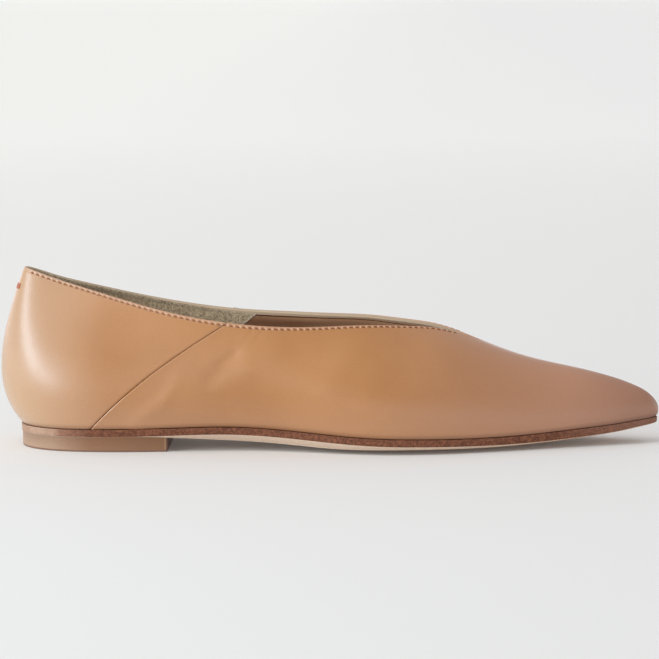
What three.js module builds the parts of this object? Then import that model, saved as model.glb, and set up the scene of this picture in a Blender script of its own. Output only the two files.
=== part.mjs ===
// Women's flat shoe for the right foot, with a pointed toe, a V throat and a low heel block.
// Millimetres: +X to the toe, +Y to the inner side of the foot, +Z up from the floor.
import * as THREE from "three";

// Lengths and widths, measured on the feather line where upper and sole meet
const LENGTH = 268;
const SEAT_WIDTH = 54;
const WAIST_WIDTH = 46;
const BALL_WIDTH = 75;
const TOE_WIDTH = 31;

// Opening for the foot
const OPENING_WIDTH = 53;
const THROAT_AT = 195.4;

// Heights above the floor
const BACK_HEIGHT = 72.8;
const SIDE_HEIGHT = 51;
const THROAT_HEIGHT = 42;
const TOE_HEIGHT = 28.1;
const SIDE_DIP = 0.6;

// Walls, sole and heel
const WALL = 1.7;
const HEEL_HEIGHT = 6.1;
const HEEL_BREAST_AT = 69.2;
const HEEL_TAPER = 0.15;
const HEEL_INSET = 0.05;
const HEEL_EDGE = 0.6;
const TOE_SPRING = 8.4;
const SOLE_EDGE = 2.9;
const SOLE_MARGIN = 0.5;
const EDGE_UNDERCUT = 0.15;
const BEVEL = 3;
const SOLE_BELLY = 3.4;
const BED_HOLLOW = 1.6;
const INSOLE = 2.2;
const CLEARANCE = 0.3;

// Fineness of the surfaces. FIRST_STEP and LAST_STEP are the shares of an even step that the
// first and last ribs keep, around the heel and at the tip.
const BACK_RIBS = 26;
const TOE_RIBS = 15;
const RIB_STEPS = 10;
const ACROSS_SOLE = 8;
const ACROSS_SMALL = 6;
const HEEL_STATIONS = 12;
const FIRST_STEP = 0.45;
const LAST_STEP = 0.25;

const LATERAL = -1;
const MEDIAL = 1;

// Feather line, a row for each section from the centre of the back to the tip of the toe.
// at is a share of LENGTH, lateral and medial are shares of the row's width, lift is a share of
// HEEL_HEIGHT, spring of TOE_SPRING, edge of SOLE_EDGE, bevel of BEVEL, belly of SOLE_BELLY
// and hollow of BED_HOLLOW.
const FEATHER_COLUMNS = ["width", "at", "lateral", "medial", "lift", "spring", "edge", "bevel", "belly", "hollow"];
const FEATHER = table(FEATHER_COLUMNS, [
  [SEAT_WIDTH, 0.0313, 0.0, 0.0, 1.0, 0.0, 1.0, 0.05, 0.0, 0.0],
  [SEAT_WIDTH, 0.0396, -0.194, 0.194, 1.0, 0.0, 1.0, 0.05, 0.0, 0.0],
  [SEAT_WIDTH, 0.0634, -0.348, 0.348, 1.0, 0.0, 1.0, 0.05, 0.0, 0.05],
  [SEAT_WIDTH, 0.1007, -0.452, 0.45, 1.0, 0.0, 1.0, 0.05, 0.0, 0.1],
  [SEAT_WIDTH, 0.1493, -0.498, 0.49, 1.01, 0.0, 1.0, 0.05, 0.0, 0.15],
  [SEAT_WIDTH, 0.209, -0.502, 0.472, 1.03, 0.0, 1.0, 0.05, 0.0, 0.2],
  [WAIST_WIDTH, 0.2799, -0.571, 0.487, 1.1, 0.0, 1.0, 0.45, 0.1, 0.2],
  [WAIST_WIDTH, 0.3545, -0.556, 0.435, 1.13, 0.0, 1.0, 0.9, 0.15, 0.2],
  [WAIST_WIDTH, 0.4291, -0.609, 0.467, 0.98, 0.0, 1.0, 1.0, 0.2, 0.35],
  [BALL_WIDTH, 0.4963, -0.448, 0.365, 0.79, 0.0, 1.0, 0.95, 0.45, 0.65],
  [BALL_WIDTH, 0.5672, -0.501, 0.46, 0.57, 0.03, 1.0, 0.6, 0.9, 0.9],
  [BALL_WIDTH, 0.6343, -0.493, 0.499, 0.33, 0.15, 1.0, 0.42, 1.0, 1.0],
  [BALL_WIDTH, 0.7015, -0.435, 0.467, 0.14, 0.25, 1.0, 0.35, 1.0, 1.0],
  [BALL_WIDTH, 0.7649, -0.353, 0.395, 0.04, 0.31, 1.05, 0.25, 0.9, 0.85],
  [BALL_WIDTH, 0.8284, -0.261, 0.312, 0.0, 0.4, 1.1, 0.15, 0.7, 0.6],
  [TOE_WIDTH, 0.8881, -0.432, 0.561, 0.0, 0.53, 1.1, 0.1, 0.45, 0.3],
  [TOE_WIDTH, 0.9366, -0.277, 0.4, 0.0, 0.69, 1.0, 0.1, 0.2, 0.1],
  [TOE_WIDTH, 0.9701, -0.148, 0.271, 0.0, 0.86, 0.85, 0.1, 0.08, 0.0],
  [TOE_WIDTH, 0.9896, -0.05, 0.179, 0.0, 0.96, 0.75, 0.1, 0.0, 0.0],
  [TOE_WIDTH, 0.9966, 0.0645, 0.0645, 0.0, 1.0, 0.72, 0.1, 0.0, 0.0],
]);

// Top edge of the upper over the same sections: the topline to the throat, then the ridge.
// at is a share of THROAT_AT up to the throat and a share of the vamp's length past it, open of
// OPENING_WIDTH, high of the row's height, middle of BALL_WIDTH and dip of SIDE_DIP.
const TOP_COLUMNS = ["height", "at", "open", "high", "middle", "dip"];
const TOP = table(TOP_COLUMNS, [
  [BACK_HEIGHT, 0.0502, 0.0, 1.0, 0.0, 0.0],
  [BACK_HEIGHT, 0.0553, 0.058, 0.997, 0.0, 0.0],
  [BACK_HEIGHT, 0.0793, 0.118, 0.977, 0.0, -0.2],
  [BACK_HEIGHT, 0.1229, 0.175, 0.9375, 0.0, -0.45],
  [BACK_HEIGHT, 0.1894, 0.257, 0.8875, 0.0, -0.4],
  [BACK_HEIGHT, 0.2764, 0.355, 0.8255, -0.004, -0.1],
  [SIDE_HEIGHT, 0.3787, 0.44, 1.091, -0.008, 0.4],
  [SIDE_HEIGHT, 0.4862, 0.492, 1.03, -0.01, 0.7],
  [SIDE_HEIGHT, 0.5885, 0.498, 1.004, -0.008, 0.9],
  [SIDE_HEIGHT, 0.6807, 0.445, 0.997, -0.004, 0.6],
  [SIDE_HEIGHT, 0.7677, 0.358, 0.994, 0.0, 0.3],
  [SIDE_HEIGHT, 0.8445, 0.249, 0.973, 0.006, 0.1],
  [THROAT_HEIGHT, 0.9211, 0.132, 1.131, 0.014, 0.0],
  [THROAT_HEIGHT, 1.0, 0.0, 1.0, 0.02, 0.0],
  [THROAT_HEIGHT, 0.2148, 0.0, 0.862, 0.025, 0.0],
  [TOE_HEIGHT, 0.4352, 0.0, 1.144, 0.026, 0.0],
  [TOE_HEIGHT, 0.6692, 0.0, 1.003, 0.0265, 0.0],
  [TOE_HEIGHT, 0.8553, 0.0, 0.84, 0.0266, 0.0],
  [TOE_HEIGHT, 0.9668, 0.0, 0.66, 0.0267, 0.0],
  [TOE_HEIGHT, 1.0, 0.0, 0.475, 0.0267, 0.0],
]);
const THROAT_ROW = 13;

// Fullness of each section as shares of its rise from feather line to top edge: how far the side
// swells out and climbs from the feather line, and how far it stands out and drops from the top.
// turn is how much the top follows the turn of the feather line around the heel.
const FULLNESS_COLUMNS = ["lateralSwell", "medialSwell", "climb", "stand", "drop", "turn"];
const FULLNESS = table(FULLNESS_COLUMNS, [
  [0.215, 0.215, 0.22, 0.165, 0.44, 1.0],
  [0.19, 0.19, 0.22, 0.175, 0.44, 1.0],
  [0.15, 0.15, 0.23, 0.2, 0.43, 1.0],
  [0.115, 0.115, 0.24, 0.227, 0.43, 1.0],
  [0.1, 0.1, 0.25, 0.25, 0.45, 0.9],
  [0.11, 0.12, 0.27, 0.175, 0.45, 0.7],
  [0.15, 0.17, 0.29, 0.14, 0.42, 0.4],
  [0.19, 0.24, 0.3, 0.14, 0.4, 0.1],
  [0.19, 0.23, 0.3, 0.21, 0.4, 0.0],
  [0.16, 0.18, 0.3, 0.34, 0.38, 0.0],
  [0.135, 0.14, 0.31, 0.45, 0.34, 0.0],
  [0.11, 0.115, 0.34, 0.48, 0.28, 0.0],
  [0.1, 0.1, 0.4, 0.48, 0.16, 0.0],
  [0.09, 0.09, 0.45, 0.46, 0.04, 0.0],
  [0.085, 0.085, 0.49, 0.42, 0.0, 0.0],
  [0.08, 0.08, 0.5, 0.365, 0.0, 0.0],
  [0.075, 0.075, 0.52, 0.32, 0.0, 0.0],
  [0.08, 0.08, 0.52, 0.27, 0.0, 0.0],
  [0.14, 0.14, 0.45, 0.19, 0.05, 0.0],
  [0.35, 0.35, 0.3, 0.0, 0.4, 0.0],
]);

const leather = { color: 0xbc8a5f, roughness: 0.42, metalness: 0 };
const soleLeather = { color: 0x7d4b3a, roughness: 0.8, metalness: 0 };
const heelLeather = { color: 0xa27a5c, roughness: 0.6, metalness: 0 };
const sockLeather = { color: 0xa58a6b, roughness: 0.6, metalness: 0 };

// Rows of numbers with named columns
function table(columns, rows) {
  return rows.map((row) => Object.fromEntries(columns.map((name, index) => [name, row[index]])));
}

// Smooth curve through a value for each knot. A flat end has no slope, as where a line
// crosses the middle of the shoe.
function spline(knots, values, flatStart, flatEnd) {
  const last = knots.length - 1;
  const lower = new Array(last + 1).fill(0);
  const middle = new Array(last + 1).fill(1);
  const upper = new Array(last + 1).fill(0);
  const right = new Array(last + 1).fill(0);
  const gap = (i) => knots[i + 1] - knots[i];
  const rate = (i) => (values[i + 1] - values[i]) / gap(i);
  for (let i = 1; i < last; i += 1) {
    lower[i] = gap(i - 1);
    middle[i] = 2 * (gap(i - 1) + gap(i));
    upper[i] = gap(i);
    right[i] = 6 * (rate(i) - rate(i - 1));
  }
  if (flatStart) {
    middle[0] = 2 * gap(0);
    upper[0] = gap(0);
    right[0] = 6 * rate(0);
  }
  if (flatEnd) {
    middle[last] = 2 * gap(last - 1);
    lower[last] = gap(last - 1);
    right[last] = -6 * rate(last - 1);
  }
  for (let i = 1; i <= last; i += 1) {
    const factor = lower[i] / middle[i - 1];
    middle[i] -= factor * upper[i - 1];
    right[i] -= factor * right[i - 1];
  }
  const bend = new Array(last + 1).fill(0);
  for (let i = last; i >= 0; i -= 1) {
    const next = i < last ? upper[i] * bend[i + 1] : 0;
    bend[i] = (right[i] - next) / middle[i];
  }
  const span = (t) => {
    let i = 0;
    while (i < last - 1 && t > knots[i + 1]) i += 1;
    return i;
  };
  const at = (t) => {
    const i = span(t);
    const h = gap(i);
    const a = (knots[i + 1] - t) / h;
    const b = 1 - a;
    const curve = ((a ** 3 - a) * bend[i] + (b ** 3 - b) * bend[i + 1]) * h * h / 6;
    return a * values[i] + b * values[i + 1] + curve;
  };
  const slope = (t) => {
    const i = span(t);
    const h = gap(i);
    const a = (knots[i + 1] - t) / h;
    const b = 1 - a;
    return rate(i) + ((3 * b * b - 1) * bend[i + 1] - (3 * a * a - 1) * bend[i]) * h / 6;
  };
  return { at, slope };
}

// Distance along the feather line, the mean of both sides, numbers the sections
const footRows = FEATHER.map((row) => ({
  x: row.at * LENGTH,
  lateral: row.lateral * row.width,
  medial: row.medial * row.width,
}));
const knots = [0];
for (let i = 1; i < footRows.length; i += 1) {
  const stepX = footRows[i].x - footRows[i - 1].x;
  const lateralStep = Math.hypot(stepX, footRows[i].lateral - footRows[i - 1].lateral);
  const medialStep = Math.hypot(stepX, footRows[i].medial - footRows[i - 1].medial);
  knots.push(knots[i - 1] + (lateralStep + medialStep) / 2);
}
const TIP = knots[knots.length - 1];
const THROAT = knots[THROAT_ROW];

function curve(values, flatStart = true, flatEnd = true) {
  return spline(knots, values, flatStart, flatEnd);
}

const footX = curve(footRows.map((row) => row.x));
const footY = {
  [LATERAL]: curve(footRows.map((row) => row.lateral), false, false),
  [MEDIAL]: curve(footRows.map((row) => row.medial), false, false),
};
const soleUnder = curve(FEATHER.map((row) => row.lift * HEEL_HEIGHT + row.spring * TOE_SPRING));
const soleEdge = curve(FEATHER.map((row) => row.edge * SOLE_EDGE));
const bevel = curve(FEATHER.map((row) => row.bevel * BEVEL));
const belly = curve(FEATHER.map((row) => row.belly * SOLE_BELLY));
const hollow = curve(FEATHER.map((row) => row.hollow * BED_HOLLOW));

const topX = curve(TOP.map((row, index) => (
  index <= THROAT_ROW ? row.at * THROAT_AT : THROAT_AT + row.at * (LENGTH - THROAT_AT))));
const topZ = curve(TOP.map((row) => row.high * row.height), true, false);
const topMiddle = curve(TOP.map((row) => row.middle * BALL_WIDTH));
const topDip = curve(TOP.map((row) => row.dip * SIDE_DIP));
const openRows = TOP.slice(0, THROAT_ROW + 1).map((row) => row.open * OPENING_WIDTH);
const opening = spline(knots.slice(0, THROAT_ROW + 1), openRows, false, false);

const swell = {
  [LATERAL]: curve(FULLNESS.map((row) => row.lateralSwell)),
  [MEDIAL]: curve(FULLNESS.map((row) => row.medialSwell)),
};
const climb = curve(FULLNESS.map((row) => row.climb));
const stand = curve(FULLNESS.map((row) => row.stand), true, false);
const drop = curve(FULLNESS.map((row) => row.drop));
const turn = curve(FULLNESS.map((row) => row.turn));

// Level direction square to the feather line, away from the shoe
function outward(side, t) {
  const dx = footX.slope(t);
  const dy = footY[side].slope(t);
  return new THREE.Vector3(side * -dy, side * dx, 0).normalize();
}

function featherZ(t) {
  return soleUnder.at(t) + soleEdge.at(t) + CLEARANCE;
}

function footPoint(side, t) {
  return new THREE.Vector3(footX.at(t), footY[side].at(t), featherZ(t));
}

function topPoint(side, t) {
  const half = t < THROAT ? opening.at(t) : 0;
  const dip = t < THROAT ? topDip.at(t) : 0;
  return new THREE.Vector3(topX.at(t), topMiddle.at(t) + side * half, topZ.at(t) + side * dip);
}

// Point on the outside of the upper: v runs from the feather line to the top edge
function skin(side, t, v) {
  const foot = footPoint(side, t);
  const top = topPoint(side, t);
  const rise = top.z - foot.z;
  const out = outward(side, t);
  const square = new THREE.Vector3(0, side, 0);
  const over = square.lerp(out, turn.at(t)).normalize();
  const low = foot.clone().addScaledVector(out, swell[side].at(t) * rise);
  low.z += climb.at(t) * rise;
  const high = top.clone().addScaledVector(over, stand.at(t) * rise);
  high.z -= drop.at(t) * rise;
  return new THREE.CubicBezierCurve3(foot, low, high, top).getPoint(v);
}

// Direction out of the leather. Where both sides meet, in the middle, it leans to neither.
function skinNormal(side, t, v) {
  const step = 0.002;
  const last = t < THROAT ? THROAT : TIP;
  const t0 = Math.max(t - step * TIP, t < THROAT ? 0 : THROAT);
  const t1 = Math.min(t + step * TIP, last);
  const atTip = t >= TIP;
  const level = atTip ? Math.min(v, 0.95) : v;
  const v0 = Math.max(level - step, 0);
  const v1 = Math.min(level + step, 1);
  const along = skin(side, t1, level).sub(skin(side, t0, level));
  const upward = skin(side, t, v1).sub(skin(side, t, v0));
  const normal = along.cross(upward).multiplyScalar(-side);
  const shared = t <= 0 || atTip || (v >= 1 && t >= THROAT);
  if (shared) normal.y = 0;
  return normal.normalize();
}

function lining(side, t, v) {
  if (v === 0) return footPoint(side, t).addScaledVector(outward(side, t), -WALL);
  return skin(side, t, v).addScaledVector(skinNormal(side, t, v), -WALL);
}

// Collects shared corners and the triangles between them
class Shell {
  constructor() {
    this.corners = [];
    this.faces = [];
  }

  corner(point) {
    this.corners.push(point.x, point.y, point.z);
    return this.corners.length / 3 - 1;
  }

  face(a, b, c) {
    if (a !== b && b !== c && c !== a) this.faces.push(a, b, c);
  }

  quad(a, b, c, d) {
    this.face(a, b, c);
    this.face(a, c, d);
  }

  geometry() {
    const result = new THREE.BufferGeometry();
    result.setAttribute("position", new THREE.Float32BufferAttribute(this.corners, 3));
    result.setIndex(this.faces);
    result.computeVertexNormals();
    return result;
  }
}

function easeIn(share) {
  return share * (FIRST_STEP + (1 - FIRST_STEP) * share);
}

// Places of the ribs, closer together around the heel and at the tip
function ribPlaces() {
  const places = [];
  for (let i = 0; i < BACK_RIBS; i += 1) {
    places.push(THROAT * easeIn(i / BACK_RIBS));
  }
  for (let i = 0; i <= TOE_RIBS; i += 1) {
    const share = i / TOE_RIBS;
    const eased = share * (2 - LAST_STEP - (1 - LAST_STEP) * share);
    places.push(THROAT + (TIP - THROAT) * eased);
  }
  return places;
}

// The upper: one wall with an outer and an inner skin, open at the topline and underneath
function upperGeometry() {
  const shell = new Shell();
  const places = ribPlaces();
  const tip = places.length - 1;
  const ribs = [];
  for (let k = 0; k <= tip; k += 1) ribs.push({ side: LATERAL, k });
  for (let k = tip - 1; k > 0; k -= 1) ribs.push({ side: MEDIAL, k });

  const layer = (surface) => {
    const ridge = [];
    return ribs.map(({ side, k }) => {
      const column = [];
      for (let j = 0; j <= RIB_STEPS; j += 1) {
        const onRidge = j === RIB_STEPS && places[k] >= THROAT;
        if (onRidge && ridge[k] === undefined) ridge[k] = shell.corner(surface(side, places[k], 1));
        column.push(onRidge ? ridge[k] : shell.corner(surface(side, places[k], j / RIB_STEPS)));
      }
      return column;
    });
  };
  const outer = layer(skin);
  const inner = layer(lining);

  ribs.forEach((rib, i) => {
    const next = (i + 1) % ribs.length;
    for (let j = 0; j < RIB_STEPS; j += 1) {
      shell.quad(outer[i][j], outer[next][j], outer[next][j + 1], outer[i][j + 1]);
      shell.quad(inner[i][j], inner[i][j + 1], inner[next][j + 1], inner[next][j]);
    }
    shell.quad(outer[i][0], inner[i][0], inner[next][0], outer[next][0]);
    const open = Math.min(places[rib.k], places[ribs[next].k]) < THROAT;
    const top = RIB_STEPS;
    if (open) shell.quad(outer[i][top], outer[next][top], inner[next][top], inner[i][top]);
  });
  return shell.geometry();
}

// A flat piece inside the feather line. Each level has an inset from that line and a height
// at a section t and a share across, from -1 at the lateral edge to 1 at the medial edge.
function slabGeometry(places, levels, across) {
  const shell = new Shell();
  const end = places.length - 1;
  const ended = places[end] >= TIP;
  const edgePoint = (side, t, level) => {
    return footPoint(side, t).addScaledVector(outward(side, t), -level.inset(t));
  };
  const pointAt = (level, k, c) => {
    const t = places[k];
    const share = c / across;
    const point = edgePoint(LATERAL, t, level).lerp(edgePoint(MEDIAL, t, level), share);
    point.z = level.height(t, 2 * share - 1);
    return point;
  };
  const collapsed = (k) => k === 0 || (k === end && ended);
  const grid = (level) => places.map((t, k) => {
    if (collapsed(k)) return new Array(across + 1).fill(shell.corner(pointAt(level, k, 0)));
    return Array.from({ length: across + 1 }, (unused, c) => shell.corner(pointAt(level, k, c)));
  });
  const border = [];
  for (let k = 0; k <= end; k += 1) border.push([k, 0]);
  if (!ended) for (let c = 1; c < across; c += 1) border.push([end, c]);
  for (let k = ended ? end - 1 : end; k > 0; k -= 1) border.push([k, across]);

  const topGrid = grid(levels[0]);
  const bottomGrid = grid(levels[levels.length - 1]);
  for (let k = 0; k < end; k += 1) {
    for (let c = 0; c < across; c += 1) {
      shell.quad(topGrid[k][c], topGrid[k + 1][c], topGrid[k + 1][c + 1], topGrid[k][c + 1]);
      shell.quad(bottomGrid[k][c], bottomGrid[k][c + 1], bottomGrid[k + 1][c + 1], bottomGrid[k + 1][c]);
    }
  }
  const rings = levels.map((level, index) => {
    if (index === 0) return border.map(([k, c]) => topGrid[k][c]);
    if (index === levels.length - 1) return border.map(([k, c]) => bottomGrid[k][c]);
    return border.map(([k, c]) => shell.corner(pointAt(level, k, c)));
  });
  for (let level = 0; level < rings.length - 1; level += 1) {
    border.forEach((unused, i) => {
      const next = (i + 1) % border.length;
      shell.quad(rings[level][i], rings[level + 1][i], rings[level + 1][next], rings[level][next]);
    });
  }
  return shell.geometry();
}

// Height of the sole's upper face, hollowed to the bottom of the last
function soleTop(t, q) {
  return soleUnder.at(t) + soleEdge.at(t) - hollow.at(t) * (1 - q * q);
}

// Height of the sole's underside inside its bevel, worn flat where it meets the floor
function soleBottom(t, q) {
  const crowned = soleUnder.at(t) - bevel.at(t) - belly.at(t) * (1 - q * q);
  return Math.max(0, crowned);
}

function outsoleGeometry() {
  const levels = [
    { inset: () => -SOLE_MARGIN, height: soleTop },
    { inset: () => -SOLE_MARGIN + EDGE_UNDERCUT, height: (t) => soleUnder.at(t) },
    { inset: (t) => -SOLE_MARGIN + EDGE_UNDERCUT + bevel.at(t), height: soleBottom },
  ];
  return slabGeometry(ribPlaces(), levels, ACROSS_SOLE);
}

// Section of the feather line that lies at a distance from the back
function placeAt(x) {
  let low = 0;
  let high = TIP;
  for (let i = 0; i < 50; i += 1) {
    const middle = (low + high) / 2;
    if (footX.at(middle) < x) low = middle;
    else high = middle;
  }
  return low;
}

function heelGeometry() {
  const breast = placeAt(HEEL_BREAST_AT);
  const places = [];
  for (let i = 0; i <= HEEL_STATIONS; i += 1) {
    places.push(breast * easeIn(i / HEEL_STATIONS));
  }
  const top = -SOLE_MARGIN + EDGE_UNDERCUT + HEEL_INSET;
  const levels = [
    { inset: (t) => top + bevel.at(t), height: (t, q) => soleBottom(t, q) - CLEARANCE },
    { inset: (t) => top + bevel.at(t) + HEEL_TAPER, height: () => HEEL_EDGE },
    { inset: (t) => top + bevel.at(t) + HEEL_TAPER + HEEL_EDGE, height: () => 0 },
  ];
  return slabGeometry(places, levels, ACROSS_SMALL);
}

function insoleGeometry() {
  const inset = WALL + CLEARANCE;
  const levels = [
    { inset: () => inset, height: (t, q) => soleTop(t, q) + CLEARANCE + INSOLE },
    { inset: () => inset, height: (t, q) => soleTop(t, q) + CLEARANCE },
  ];
  return slabGeometry(ribPlaces(), levels, ACROSS_SMALL);
}

function piece(name, geometry, finish) {
  const mesh = new THREE.Mesh(geometry, new THREE.MeshStandardMaterial(finish));
  mesh.name = name;
  return mesh;
}

const shoe = new THREE.Group();
shoe.name = "flat_shoe";
shoe.add(piece("upper", upperGeometry(), leather));
shoe.add(piece("outsole", outsoleGeometry(), soleLeather));
shoe.add(piece("heel", heelGeometry(), heelLeather));
shoe.add(piece("insole", insoleGeometry(), sockLeather));

// The origin is on the floor, under the middle of the whole shoe
const middle = new THREE.Box3().setFromObject(shoe).getCenter(new THREE.Vector3());
shoe.position.set(-middle.x, -middle.y, 0);

export default shoe;
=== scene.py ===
import math

import bpy
import numpy as np
from mathutils import Matrix, Vector


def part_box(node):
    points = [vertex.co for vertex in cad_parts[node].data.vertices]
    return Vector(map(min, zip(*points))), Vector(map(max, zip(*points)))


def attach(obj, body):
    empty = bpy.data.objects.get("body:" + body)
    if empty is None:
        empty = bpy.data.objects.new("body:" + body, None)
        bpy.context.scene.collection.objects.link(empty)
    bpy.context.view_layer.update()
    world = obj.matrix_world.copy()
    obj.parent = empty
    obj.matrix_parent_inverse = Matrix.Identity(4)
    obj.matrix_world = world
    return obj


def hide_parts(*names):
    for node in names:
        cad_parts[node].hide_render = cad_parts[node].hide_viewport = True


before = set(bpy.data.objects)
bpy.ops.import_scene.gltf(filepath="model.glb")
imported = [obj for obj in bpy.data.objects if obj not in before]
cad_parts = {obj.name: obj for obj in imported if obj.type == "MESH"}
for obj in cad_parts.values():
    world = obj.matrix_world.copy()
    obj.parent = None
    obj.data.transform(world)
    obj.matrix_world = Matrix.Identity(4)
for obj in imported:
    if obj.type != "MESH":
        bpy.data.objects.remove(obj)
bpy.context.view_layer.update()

MM = 0.001
LATERAL = -1
MEDIAL = 1
SIDES = (LATERAL, MEDIAL)

# Driving lengths of the shoe, as in its solids
LENGTH = 268
SEAT_WIDTH = 54
WAIST_WIDTH = 46
BALL_WIDTH = 75
TOE_WIDTH = 31
OPENING_WIDTH = 53
THROAT_AT = 195.4
BACK_HEIGHT = 72.8
SIDE_HEIGHT = 51
THROAT_HEIGHT = 42
TOE_HEIGHT = 28.1
SIDE_DIP = 0.6
WALL = 1.7
HEEL_HEIGHT = 6.1
HEEL_BREAST_AT = 69.2
HEEL_TAPER = 0.15
HEEL_INSET = 0.05
TOE_SPRING = 8.4
SOLE_EDGE = 2.9
SOLE_MARGIN = 0.5
EDGE_UNDERCUT = 0.15
BEVEL = 3
SOLE_BELLY = 3.4
BED_HOLLOW = 1.6
INSOLE = 2.2
CLEARANCE = 0.3

# Sections of the last, from the centre of the back to the tip of the toe, as in the solids
FEATHER_COLUMNS = ("width", "at", "lateral", "medial", "lift", "spring", "edge", "bevel", "belly", "hollow")
FEATHER_ROWS = (
    (SEAT_WIDTH, 0.0313, 0, 0, 1, 0, 1, 0.05, 0, 0),
    (SEAT_WIDTH, 0.0396, -0.194, 0.194, 1, 0, 1, 0.05, 0, 0),
    (SEAT_WIDTH, 0.0634, -0.348, 0.348, 1, 0, 1, 0.05, 0, 0.05),
    (SEAT_WIDTH, 0.1007, -0.452, 0.45, 1, 0, 1, 0.05, 0, 0.1),
    (SEAT_WIDTH, 0.1493, -0.498, 0.49, 1.01, 0, 1, 0.05, 0, 0.15),
    (SEAT_WIDTH, 0.209, -0.502, 0.472, 1.03, 0, 1, 0.05, 0, 0.2),
    (WAIST_WIDTH, 0.2799, -0.571, 0.487, 1.1, 0, 1, 0.45, 0.1, 0.2),
    (WAIST_WIDTH, 0.3545, -0.556, 0.435, 1.13, 0, 1, 0.9, 0.15, 0.2),
    (WAIST_WIDTH, 0.4291, -0.609, 0.467, 0.98, 0, 1, 1, 0.2, 0.35),
    (BALL_WIDTH, 0.4963, -0.448, 0.365, 0.79, 0, 1, 0.95, 0.45, 0.65),
    (BALL_WIDTH, 0.5672, -0.501, 0.46, 0.57, 0.03, 1, 0.6, 0.9, 0.9),
    (BALL_WIDTH, 0.6343, -0.493, 0.499, 0.33, 0.15, 1, 0.42, 1, 1),
    (BALL_WIDTH, 0.7015, -0.435, 0.467, 0.14, 0.25, 1, 0.35, 1, 1),
    (BALL_WIDTH, 0.7649, -0.353, 0.395, 0.04, 0.31, 1.05, 0.25, 0.9, 0.85),
    (BALL_WIDTH, 0.8284, -0.261, 0.312, 0, 0.4, 1.1, 0.15, 0.7, 0.6),
    (TOE_WIDTH, 0.8881, -0.432, 0.561, 0, 0.53, 1.1, 0.1, 0.45, 0.3),
    (TOE_WIDTH, 0.9366, -0.277, 0.4, 0, 0.69, 1, 0.1, 0.2, 0.1),
    (TOE_WIDTH, 0.9701, -0.148, 0.271, 0, 0.86, 0.85, 0.1, 0.08, 0),
    (TOE_WIDTH, 0.9896, -0.05, 0.179, 0, 0.96, 0.75, 0.1, 0, 0),
    (TOE_WIDTH, 0.9966, 0.0645, 0.0645, 0, 1, 0.72, 0.1, 0, 0),
)
TOP_COLUMNS = ("height", "at", "open", "high", "middle", "dip")
TOP_ROWS = (
    (BACK_HEIGHT, 0.0502, 0, 1, 0, 0),
    (BACK_HEIGHT, 0.0553, 0.058, 0.997, 0, 0),
    (BACK_HEIGHT, 0.0793, 0.118, 0.977, 0, -0.2),
    (BACK_HEIGHT, 0.1229, 0.175, 0.9375, 0, -0.45),
    (BACK_HEIGHT, 0.1894, 0.257, 0.8875, 0, -0.4),
    (BACK_HEIGHT, 0.2764, 0.355, 0.8255, -0.004, -0.1),
    (SIDE_HEIGHT, 0.3787, 0.44, 1.091, -0.008, 0.4),
    (SIDE_HEIGHT, 0.4862, 0.492, 1.03, -0.01, 0.7),
    (SIDE_HEIGHT, 0.5885, 0.498, 1.004, -0.008, 0.9),
    (SIDE_HEIGHT, 0.6807, 0.445, 0.997, -0.004, 0.6),
    (SIDE_HEIGHT, 0.7677, 0.358, 0.994, 0, 0.3),
    (SIDE_HEIGHT, 0.8445, 0.249, 0.973, 0.006, 0.1),
    (THROAT_HEIGHT, 0.9211, 0.132, 1.131, 0.014, 0),
    (THROAT_HEIGHT, 1, 0, 1, 0.02, 0),
    (THROAT_HEIGHT, 0.2148, 0, 0.862, 0.025, 0),
    (TOE_HEIGHT, 0.4352, 0, 1.144, 0.026, 0),
    (TOE_HEIGHT, 0.6692, 0, 1.003, 0.0265, 0),
    (TOE_HEIGHT, 0.8553, 0, 0.84, 0.0266, 0),
    (TOE_HEIGHT, 0.9668, 0, 0.66, 0.0267, 0),
    (TOE_HEIGHT, 1, 0, 0.475, 0.0267, 0),
)
THROAT_ROW = 13
FULLNESS_COLUMNS = ("lateral_swell", "medial_swell", "climb", "stand", "drop", "turn")
FULLNESS_ROWS = (
    (0.215, 0.215, 0.22, 0.165, 0.44, 1),
    (0.19, 0.19, 0.22, 0.175, 0.44, 1),
    (0.15, 0.15, 0.23, 0.2, 0.43, 1),
    (0.115, 0.115, 0.24, 0.227, 0.43, 1),
    (0.1, 0.1, 0.25, 0.25, 0.45, 0.9),
    (0.11, 0.12, 0.27, 0.175, 0.45, 0.7),
    (0.15, 0.17, 0.29, 0.14, 0.42, 0.4),
    (0.19, 0.24, 0.3, 0.14, 0.4, 0.1),
    (0.19, 0.23, 0.3, 0.21, 0.4, 0),
    (0.16, 0.18, 0.3, 0.34, 0.38, 0),
    (0.135, 0.14, 0.31, 0.45, 0.34, 0),
    (0.11, 0.115, 0.34, 0.48, 0.28, 0),
    (0.1, 0.1, 0.4, 0.48, 0.16, 0),
    (0.09, 0.09, 0.45, 0.46, 0.04, 0),
    (0.085, 0.085, 0.49, 0.42, 0, 0),
    (0.08, 0.08, 0.5, 0.365, 0, 0),
    (0.075, 0.075, 0.52, 0.32, 0, 0),
    (0.08, 0.08, 0.52, 0.27, 0, 0),
    (0.14, 0.14, 0.45, 0.19, 0.05, 0),
    (0.35, 0.35, 0.3, 0, 0.4, 0),
)

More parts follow.
